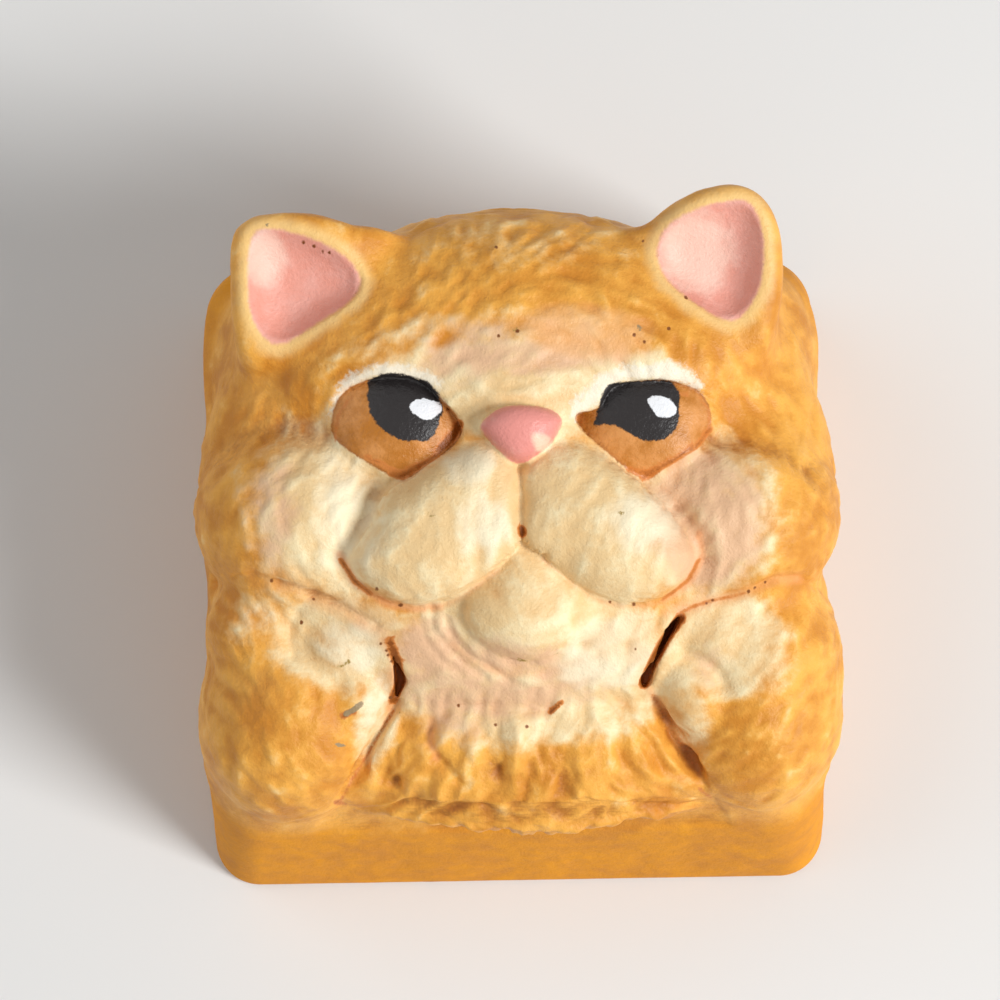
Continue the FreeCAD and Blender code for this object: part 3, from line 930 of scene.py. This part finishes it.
def combed(table, angle, length):
    """The noise drawn out along the strokes' direction, by that many millimetres."""
    step = 0.08
    total = table.copy()
    along_u, along_v = np.cos(angle), np.sin(angle)
    for side in (1.0, -1.0):
        u, v = (part.copy() for part in np.meshgrid(MAP_U, MAP_V, indexing="ij"))
        du, dv = side * along_u, side * along_v
        for count in range(1, int(length / step)):
            u += step * du
            v += step * dv
            index_u = np.clip(np.rint((u - MAP_U[0]) / MAP_STEP).astype(int), 0, len(MAP_U) - 1)
            index_v = np.clip(np.rint((v - MAP_V[0]) / MAP_STEP).astype(int), 0, len(MAP_V) - 1)
            next_u, next_v = along_u[index_u, index_v], along_v[index_u, index_v]
            flip = np.where(next_u * du + next_v * dv < 0, -1.0, 1.0)
            du, dv = flip * next_u, flip * next_v
            total += (1.0 - count * step / length) * table[index_u, index_v]
    return total / total.std()


class Fur:
    """Stroke relief of the coat, as face maps and as maps round its sides."""

    def __init__(self, rng):
        angle = stroke_angle()
        bend = 0.5 * grain(rng, 12)
        self.fine = combed(grain(rng, 1), angle + 0.9 * bend, 0.32)
        self.clumps = combed(grain(rng, 2), angle + bend, 0.55)
        self.lobes = combed(grain(rng, 3), angle + 0.25 * bend, 1.2)
        upright = np.full_like(angle, math.pi / 2) + 0.6 * grain(rng, 10)
        self.side_fine = combed(grain(rng, 1), upright, 0.5)
        self.side_clumps = combed(grain(rng, 2), upright, 0.8)
        self.lumps = grain(rng, 8)

    def relief(self, points, normals):
        """Fine and clumped stroke heights, about -1 to 1, at points on the surface."""
        u, v, w = face_axes(*points.T)
        top = ease(0.25, 0.6, np.abs(facing(normals)))
        around = np.mod(SIDE_ROUND * np.arctan2(u, -v), 4 * HALF_STRIP)
        around = np.abs(around - 2 * HALF_STRIP) - HALF_STRIP
        heights = []
        for flat, side in ((self.fine, self.side_fine), (self.clumps, self.side_clumps)):
            on_side = look_up(side, around, SIDE_STRETCH * w)
            heights.append(look_up(flat, u, v) * top + on_side * (1 - top))
        return heights


def facing(normals):
    """How far the surface faces out of the face, 1 to -1."""
    return normals[:, 2] * math.cos(LEAN) - normals[:, 1] * math.sin(LEAN)


def soft_spot(u, v, centre_u, centre_v, half_u, half_v, edge, turn=0.0):
    """1 inside an ellipse, fading to 0 across its edge, which is a part of its size."""
    angle = math.radians(turn)
    du, dv = u - centre_u, v - centre_v
    pu = (math.cos(angle) * du + math.sin(angle) * dv) / half_u
    pv = (math.cos(angle) * dv - math.sin(angle) * du) / half_v
    return ease(1.0 + edge, 1.0 - edge, np.sqrt(pu * pu + pv * pv))


def coat_height(u, v, w, maps):
    """How strongly the fur's strokes stand up at points on the surface."""
    chest, ledge = chest_part(u, v), ledge_part(u, v)
    height = COAT_HEIGHT + CROWN_EXTRA * ease(4.8, 7.0, v)
    height = height * (1 + CHEST_EXTRA * chest + LEDGE_EXTRA * ledge)
    height = height * (1 - BACK_CALM * ease(*BACK_LOW, w) * ease(*BACK_FROM, v))
    bare = [soft_spot(u, v, *spot) for spot in BARE_SPOTS]
    height = height * (1 - BARE_PART * np.clip(sum(bare), 0, 1))
    for name, part, edge, rise in CALM:
        height = height * (1 - part * ease(*edge, look_up(maps[name], u, v)) * ease(*rise, w))
    return height


def displace(mesh, fur, maps):
    """Moves the mesh's points out and in by the fur, lumps, lobes, ledge and folds."""
    points, normals = surface(mesh)
    x, y, z = points.T
    u, v, w = face_axes(x, y, z)
    fine, clumps = fur.relief(points, normals)
    lumps, lobes = look_up(fur.lumps, u, v), look_up(fur.lobes, u, v)
    skin = tapered_box(x, y, z, SKIRT_LEVELS)
    plain = SKIRT_CALM * ease(*SKIRT_EDGE, np.abs(skin)) * ease(*SKIRT_RISE, z)
    outside = 1 - ease(*INSIDE, skin) * (z < HOLLOW_DEPTH + 0.2)
    ears = EAR_CALM * ease(*EAR_EDGE, look_up(maps["ear"], u, v)) * ease(*EAR_RISE, w)
    up = ease(0.1, 0.5, normals[:, 2])
    chest = chest_part(u, v) * up * ease(0.6, 1.4, w)

    height = coat_height(u, v, w, maps) * (1 - plain) * outside
    move = height * (FINE_SHARE * fine + CLUMP_SHARE * clumps)
    move += LUMP_HEIGHT * lumps * outside * (1 - ears)
    tongues = chest * ease(-4.0, -4.8, v) * ease(TIER_EDGE - 0.2, TIER_EDGE + 0.2, v)
    move += LOBE_HEIGHT * lobes * tongues
    tier = v - TIER_EDGE - TIER_RAGGED[0] * lobes - TIER_RAGGED[1] * lumps
    move -= TIER_STEP * chest * ease(TIER_SOFTNESS, -TIER_SOFTNESS, tier)
    for place, (_, width, rise) in zip(maps["lines"], LINES):
        distance = look_up(place, u, v)
        move += rise * np.exp(-((distance / width) ** 2)) * up * ease(1.0, 1.6, w)
    move *= ease(*RIM_RISE, z)
    moved = points + normals * move[:, None]
    mesh.vertices.foreach_set("co", (moved * MM).astype(np.float32).ravel())
    mesh.update()


def thinned(piece):
    """The piece's mesh, thinned to at most MAX_TRIANGLES triangles."""
    triangles = sum(len(face.vertices) - 2 for face in piece.data.polygons)
    thin = piece.modifiers.new("thin", "DECIMATE")
    thin.ratio = min(1.0, MAX_TRIANGLES / triangles)
    done = bpy.data.meshes.new_from_object(piece.evaluated_get(bpy.context.evaluated_depsgraph_get()))
    piece.modifiers.clear()
    piece.data = done
    return done


def drop_specks(mesh):
    """Keeps only the largest connected part: thinning can leave specks of a few faces."""
    shape = bmesh.new()
    shape.from_mesh(mesh)
    left, parts = set(shape.verts), []
    while left:
        part = [left.pop()]
        for point in part:
            near = {edge.other_vert(point) for edge in point.link_edges} & left
            left -= near
            part.extend(near)
        parts.append(part)
    parts.sort(key=len)
    bmesh.ops.delete(shape, geom=sum(parts[:-1], []), context="VERTS")
    shape.to_mesh(mesh)
    shape.free()


def write_masks(mesh, clay, fur, maps):
    """Where each paint goes, as numbers on the mesh's points: distances in mm, or 0 to 1."""
    points, normals = surface(mesh)
    u, v, w = face_axes(*points.T)
    fine, clumps = fur.relief(points, normals)
    side = 1 - ease(-0.1, 0.2, facing(normals))
    front = ease(*FRONT, w)
    away = FAR * (1 - ease(*DEEP_FRONT, w))
    outlined = ("eye", "pupil", "glint", "nose", "lid", "pink")
    masks = {name: look_up(maps[name], u, v) + away for name in outlined}
    masks["pink"] = masks["pink"] + FAR * side
    chest = chest_part(u, v) * ease(-4.1, -4.7, v)
    masks["fur"] = 0.4 * fine + 0.6 * clumps + 0.5 * chest * look_up(fur.lobes, u, v)
    masks["skirt"] = ease(2.0, 0.6, w)
    masks["side"] = side
    # How deep each point lies in the clay's folds, finely and broadly blurred: the colour darkens by these
    # as wash and as painted shade in creases and recesses
    for name, depth, cells in (("crease_wash_and_shade", 1.0, 2), ("hollow", 1.5, 6)):
        masks[name] = -clay.at(blurred(np.clip(clay.distance, -depth, depth), cells, 2), points)
    for name, spots in SPOTS.items():
        masks[name] = front * np.max([strength * soft_spot(u, v, *spot) for strength, *spot in spots], 0)
    for name in MARKS:
        masks[name] = look_up(maps[name], u, v) * front * (1 - side)
    for name, values in masks.items():
        attribute = mesh.attributes.new(name, "FLOAT", "POINT")
        attribute.data.foreach_set("value", np.asarray(values, np.float32))


def mark_map(lines, soft):
    """Painted lines on the face map, 0 to 1, with soft or crisp edges."""
    strokes = []
    for line, width, strength in lines:
        edge = (2.0 * width, 0.0) if soft else (width + 0.06, width - 0.03)
        strokes.append(strength * ease(*edge, line_distance(line)))
    return np.max(strokes, 0)


def face_maps():
    """Everything that is looked up on the face: signed distances, line distances and marks."""
    pairs = {
        "eye": (LEFT_EYE, RIGHT_EYE),
        "pupil": (LEFT_PUPIL, RIGHT_PUPIL),
        "glint": (LEFT_GLINT, RIGHT_GLINT),
        "nose": (NOSE,),
        "pink": (LEFT_EAR_PINK, RIGHT_EAR_PINK),
        "lid": (LEFT_LID, RIGHT_LID),
        "ear": (LEFT_EAR, RIGHT_EAR),
        "pad": (LEFT_PAD, RIGHT_PAD),
    }
    maps = {name: np.min([outline_map(one) for one in outlines], 0) for name, outlines in pairs.items()}
    maps["lines"] = [line_distance(line) for line, _, _ in LINES]
    for name, lines in MARKS.items():
        maps[name] = mark_map(lines, soft=name == "blush")
    return maps


def make_piece():
    rng = np.random.default_rng(SEED)
    maps = face_maps()
    clay = sculpt(rng)
    fur = Fur(rng)
    mesh = mesh_of(clay)
    displace(mesh, fur, maps)
    piece = add_object("painted_keycap", mesh)
    mesh = thinned(piece)
    drop_specks(mesh)
    mesh.polygons.foreach_set("use_smooth", np.ones(len(mesh.polygons), bool))
    write_masks(mesh, clay, fur, maps)
    mesh.materials.clear()
    mesh.materials.append(paint_material())
    return piece


def linear(colour):
    """A colour as a shader takes it, from its shown values."""
    parts = [value / 255 for value in colour]
    return (*(part / 12.92 if part <= 0.04045 else ((part + 0.055) / 1.055) ** 2.4 for part in parts), 1.0)


def wire(tree, node, inputs):
    """Sets or links a node's inputs, by name or number."""
    for key, value in inputs.items():
        if isinstance(value, bpy.types.NodeSocket):
            tree.links.new(value, node.inputs[key])
        else:
            node.inputs[key].default_value = value


def add_node(tree, kind, inputs, **settings):
    """The outputs of a new node with those inputs and settings."""
    node = tree.nodes.new("ShaderNode" + kind)
    for name, setting in settings.items():
        setattr(node, name, setting)
    wire(tree, node, inputs)
    return node.outputs


class Paint:
    """A material's nodes, with short calls that lay one coat of paint over another."""

    def __init__(self, tree):
        self.tree = tree
        place = self.node("TexCoord", {})["Object"]
        self.place = self.node("VectorMath", {0: place, "Scale": 1 / MM}, operation="SCALE")[0]
        self.noises = {name: self.noise(*settings) for name, settings in NOISES.items()}
        both = self.plus(self.noises["mottle"], self.noises["speckle"])
        self.noises["ragged"] = self.times(both, RAGGED)
        self.noises["fur"] = self.value("fur")

    def node(self, kind, inputs, **settings):
        return add_node(self.tree, kind, inputs, **settings)

    def math(self, operation, a, b):
        return self.node("Math", {0: a, 1: b}, operation=operation)[0]

    def times(self, a, b):
        return self.math("MULTIPLY", a, b)

    def plus(self, a, b):
        return self.math("ADD", a, b)

    def minus(self, a, b):
        return self.math("SUBTRACT", a, b)

    def value(self, name):
        """What the mesh's points say under that name."""
        return self.node("Attribute", {}, attribute_name=name)["Fac"]

    def noise(self, scale, detail, roughness):
        """Noise centred on 0, about -0.5 to 0.5."""
        inputs = {"Vector": self.place, "Scale": scale, "Detail": detail, "Roughness": roughness}
        return self.minus(self.node("TexNoise", inputs)["Fac"], 0.5)

    def step(self, value, low, high):
        """0 at low to 1 at high, eased."""
        (first, start), (last, end) = sorted(((low, 0.0), (high, 1.0)))
        inputs = {"Value": value, "From Min": first, "From Max": last, "To Min": start, "To Max": end}
        return self.node("MapRange", inputs, interpolation_type="SMOOTHSTEP")["Result"]

    def mix(self, amount, under, over):
        under, over = (linear(one) if isinstance(one, tuple) else one for one in (under, over))
        return self.node("Mix", {0: amount, 6: under, 7: over}, data_type="RGBA")[2]

    def rough(self, value, weights):
        """A value with the noises added, each by its weight."""
        for name, weight in weights.items():
            value = self.plus(value, self.times(self.noises[name], weight))
        return value

    def mask(self, name, edge, strength=1.0, **noises):
        """Goes from 0 to the strength as the named value, roughened, goes across the edge."""
        value = self.value(name) if isinstance(name, str) else name
        return self.times(self.step(self.rough(value, noises), *edge), strength)

    def coat(self, under, over, name, edge, strength=1.0, **noises):
        """One colour over another where the mask of the same settings lets it."""
        return self.mix(self.mask(name, edge, strength, **noises), under, over)

    def mottled(self, under, over, edge, **noises):
        """One colour over another by the noises alone."""
        return self.coat(under, over, 0.0, edge, **noises)

    def nearest(self, spots):
        """Distance on the face to the nearest of some spots, in mm, large away from the front."""
        turn = {"Vector": self.place, "Center": (0, 0, FACE_HEIGHT), "Angle": -LEAN}
        turned = self.node("VectorRotate", turn, rotation_type="X_AXIS")[0]
        flat = self.node("VectorMath", {0: turned, 1: (1, 1, 0)}, operation="MULTIPLY")[0]
        least = 1.0
        for spot in spots:
            gap = self.node("VectorMath", {0: flat, 1: (*spot, 0)}, operation="DISTANCE")["Value"]
            least = self.math("MINIMUM", gap, least)
        height = self.node("SeparateXYZ", {0: turned})["Z"]
        return self.plus(least, self.math("LESS_THAN", height, FACE_HEIGHT + FRONT[0]))


def coat_paint(paint):
    """Orange fur with cream on the face, chest and paws, and a plainer orange skirt."""
    orange = paint.mottled(ORANGE_DEEP, ORANGE, (-0.3, 0.25), broad=1.0, mottle=0.6, speckle=0.25, fur=0.12)
    orange = paint.mottled(orange, ORANGE_LIGHT, (0.15, 0.75), mottle=1.0, speckle=0.5, fur=0.22)
    skirt = paint.mottled(ORANGE_DEEP, SKIRT_ORANGE, (-0.4, 0.4), broad=1.0, mottle=1.0)
    orange = paint.mix(paint.value("skirt"), orange, skirt)
    cream = paint.mottled(CREAM, CREAM_LIGHT, (-0.2, 0.5), mottle=1.0, speckle=0.6, fur=0.2)
    # Rosy paint, which also lays painted shade on the neck below the chin
    cream = paint.coat(cream, ROSY_AND_SHADE, "rosy_paint_and_shade", (0.3, 1.1), mottle=1.0, speckle=0.4, fur=-0.12)
    # Palest cream where the light spots lie: part paler paint, part painted highlight
    cream = paint.coat(cream, PALE_CREAM_AND_HIGHLIGHT, "light", (0.3, 1.2), 0.8, mottle=0.8, fur=0.15)
    creamy = paint.mask("cream", (0.12, 0.9), mottle=1.1, fur=0.12)
    colour = paint.mix(paint.times(creamy, paint.minus(1.0, paint.value("skirt"))), orange, cream)
    return paint.coat(colour, PEACH, "peach", (0.3, 1.1), 0.65, mottle=0.8)


def fold_paint(paint, colour):
    """Blush and brown wash where the forms meet; both also lay painted shade, found from the clay's folds:
    a blush tint in broad recesses and brown in every crease.
    """
    # A blush tint in broad recesses: part blush, part painted shade
    colour = paint.coat(colour, BLUSH_AND_SHADE, "hollow", (0.08, 0.55), 0.40, mottle=0.10)
    colour = paint.coat(colour, BLUSH_AND_SHADE, "blush", (0.1, 1.1), 0.75, mottle=0.6)
    # Brown in every crease: part wash, part painted shade
    return paint.coat(colour, BROWN_WASH_AND_SHADE, "crease_wash_and_shade", (0.08, 0.26), 0.65, speckle=0.03)


def ear_paint(paint, colour):
    # A pale band just outside the pink: part pale paint, part painted highlight on the ear's rim
    colour = paint.coat(colour, EAR_RIM_PALE_AND_HIGHLIGHT, "pink", (0.50, 0.10), 0.75, ragged=1.0, mottle=0.3)
    ear = paint.mottled(EAR_PINK_DEEP, EAR_PINK, (-0.25, 0.35), mottle=1.0, broad=1.0)
    # A painted highlight on the inside of the ear
    ear = paint.coat(ear, PALE_PINK_HIGHLIGHT, "painted_ear_highlight", (0.2, 1.0), 0.7, mottle=1.0)
    return paint.coat(colour, ear, "pink", (0.06, -0.08), ragged=1.0)


def nose_paint(paint, colour, nose_mask):
    # The pink nose, mottled with pale painted highlight, and more painted highlight where the light spots
    # lie
    nose = paint.mottled(NOSE_PINK, PALE_PINK_HIGHLIGHT, (0.0, 0.5), mottle=1.0)
    nose = paint.coat(nose, PALE_CREAM_AND_HIGHLIGHT, "light", (0.2, 1.2), 0.65, mottle=0.8, fur=0.15)
    return paint.mix(nose_mask, colour, nose)


def iris_paint(paint, colour, eye_mask):
    iris = paint.mottled(IRIS_DEEP, IRIS, (-0.35, 0.35), mottle=1.5, broad=1.0)
    iris = paint.coat(iris, BROWN_WASH_AND_SHADE, "eye", (-0.14, 0.0), 0.5, ragged=2.0)
    return paint.mix(eye_mask, colour, iris)


def mark_paint(paint, colour):
    """Lines of wash, worn marks and pinholes."""
    colour = paint.coat(colour, WASH_LIGHT, "wash", (0.12, 0.5), mottle=0.5, speckle=0.5)
    colour = paint.coat(colour, BROWN_WASH_AND_SHADE, "wash", (0.45, 0.95), mottle=0.5, speckle=0.5)
    colour = paint.coat(colour, OLIVE, "olive", (0.35, 0.75), speckle=1.6)
    colour = paint.coat(colour, GREY, "grey", (0.35, 0.65), speckle=1.0)
    pins = paint.plus(paint.nearest(PINHOLES), paint.value("side"))
    return paint.coat(colour, PIN_BROWN, pins, (1.2 * PINHOLE_RADIUS, 0.4 * PINHOLE_RADIUS), ragged=1.0)


def pupil_paint(paint, colour):
    pupil = paint.mottled(PUPIL, PUPIL_WORN, (0.25, 0.8), speckle=1.0, mottle=1.0)
    colour = paint.coat(colour, pupil, "pupil", (0.03, -0.03), ragged=1.6)
    return paint.coat(colour, GLINT, "glint", (0.02, -0.02), ragged=1.2)


def paint_material():
    material = bpy.data.materials.new("painted_resin")
    material.use_nodes = True
    paint = Paint(material.node_tree)
    nose_mask = paint.mask("nose", (0.03, -0.03), ragged=0.8)
    eye_mask = paint.mask("eye", (0.03, -0.03), ragged=1.0)
    colour = fold_paint(paint, coat_paint(paint))
    colour = paint.coat(colour, WHITE, "lid", (0.12, -0.12), 0.85, mottle=0.5, speckle=0.5)
    colour = ear_paint(paint, colour)
    colour = nose_paint(paint, colour, nose_mask)
    colour = iris_paint(paint, colour, eye_mask)
    colour = mark_paint(paint, colour)
    colour = pupil_paint(paint, colour)

    wet = paint.math("MAXIMUM", eye_mask, nose_mask)
    dull = paint.plus(ROUGHNESS, paint.times(paint.value("skirt"), SKIRT_ROUGHER))
    dull = paint.minus(paint.rough(dull, {"mottle": MOTTLE_ROUGHER}), paint.times(wet, WET_SMOOTHER))
    relief = paint.rough(0.0, {"mottle": 1.0, "speckle": 0.9, "grit": 0.4})
    bump = paint.node("Bump", {"Strength": BUMP_STRENGTH, "Distance": BUMP_HEIGHT * MM, "Height": relief})
    inputs = {"Base Color": colour, "Roughness": dull, "Normal": bump["Normal"]}
    inputs["Specular IOR Level"] = SPECULAR
    wire(paint.tree, paint.tree.nodes["Principled BSDF"], inputs)
    return material


def add_object(name, data):
    made = bpy.data.objects.new(name, data)
    bpy.context.scene.collection.objects.link(made)
    return made


def add_camera():
    back = Vector((CAMERA_SIDE, -math.cos(CAMERA_RISE), math.sin(CAMERA_RISE))).normalized()
    up = Vector((0.0, math.sin(CAMERA_RISE), math.cos(CAMERA_RISE)))
    up = (up - back * up.dot(back)).normalized()
    right = up.cross(back)
    rolled_right = right * math.cos(CAMERA_ROLL) - up * math.sin(CAMERA_ROLL)
    rolled_up = up * math.cos(CAMERA_ROLL) + right * math.sin(CAMERA_ROLL)
    place = Matrix((rolled_right, rolled_up, back)).transposed().to_4x4()
    place.translation = TARGET + back * CAMERA_DISTANCE
    data = bpy.data.cameras.new("camera")
    data.sensor_width = SENSOR
    data.lens = SENSOR * FOCAL_PIXELS / IMAGE_SIZE
    data.shift_x = (IMAGE_SIZE / 2 - TARGET_PIXEL[0]) / IMAGE_SIZE
    data.shift_y = (TARGET_PIXEL[1] - IMAGE_SIZE / 2) / IMAGE_SIZE
    data.clip_start = 0.005
    data.clip_end = 5.0
    camera = add_object("camera", data)
    camera.matrix_world = place
    bpy.context.scene.camera = camera


def add_lamp(name, place, size, power):
    data = bpy.data.lights.new(name, "AREA")
    data.size = size
    data.energy = power
    lamp = add_object(name, data)
    lamp.location = place
    lamp.rotation_euler = (TARGET - Vector(place)).to_track_quat("-Z", "Y").to_euler()


def add_floor():
    bpy.ops.mesh.primitive_plane_add(size=FLOOR_SIZE)
    floor = bpy.context.object
    floor.name = "floor"
    material = bpy.data.materials.new("floor")
    material.use_nodes = True
    tree = material.node_tree
    wire(tree, tree.nodes["Principled BSDF"], {"Base Color": FLOOR_COLOUR, "Roughness": FLOOR_ROUGHNESS})
    floor.data.materials.append(material)


def add_world():
    """Plain white where it is seen or mirrored, dimmer as a light."""
    world = bpy.data.worlds.new("studio")
    world.use_nodes = True
    tree = world.node_tree
    rays = add_node(tree, "LightPath", {})
    seen = rays["Is Camera Ray"]
    for name in ("Is Glossy Ray", "Is Transmission Ray"):
        seen = add_node(tree, "Math", {0: seen, 1: rays[name]}, operation="MAXIMUM")[0]
    dimmed = add_node(tree, "MapRange", {"Value": seen, "To Min": WORLD_STRENGTH, "To Max": 1.0})["Result"]
    wire(tree, tree.nodes["Background"], {"Color": (1, 1, 1, 1), "Strength": dimmed})
    bpy.context.scene.world = world


add_camera()
add_world()
add_floor()
for lamp in LAMPS:
    add_lamp(*lamp)
piece = make_piece()
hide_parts("keycap")
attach(piece, "root")
bpy.context.scene.view_settings.view_transform = "Standard"
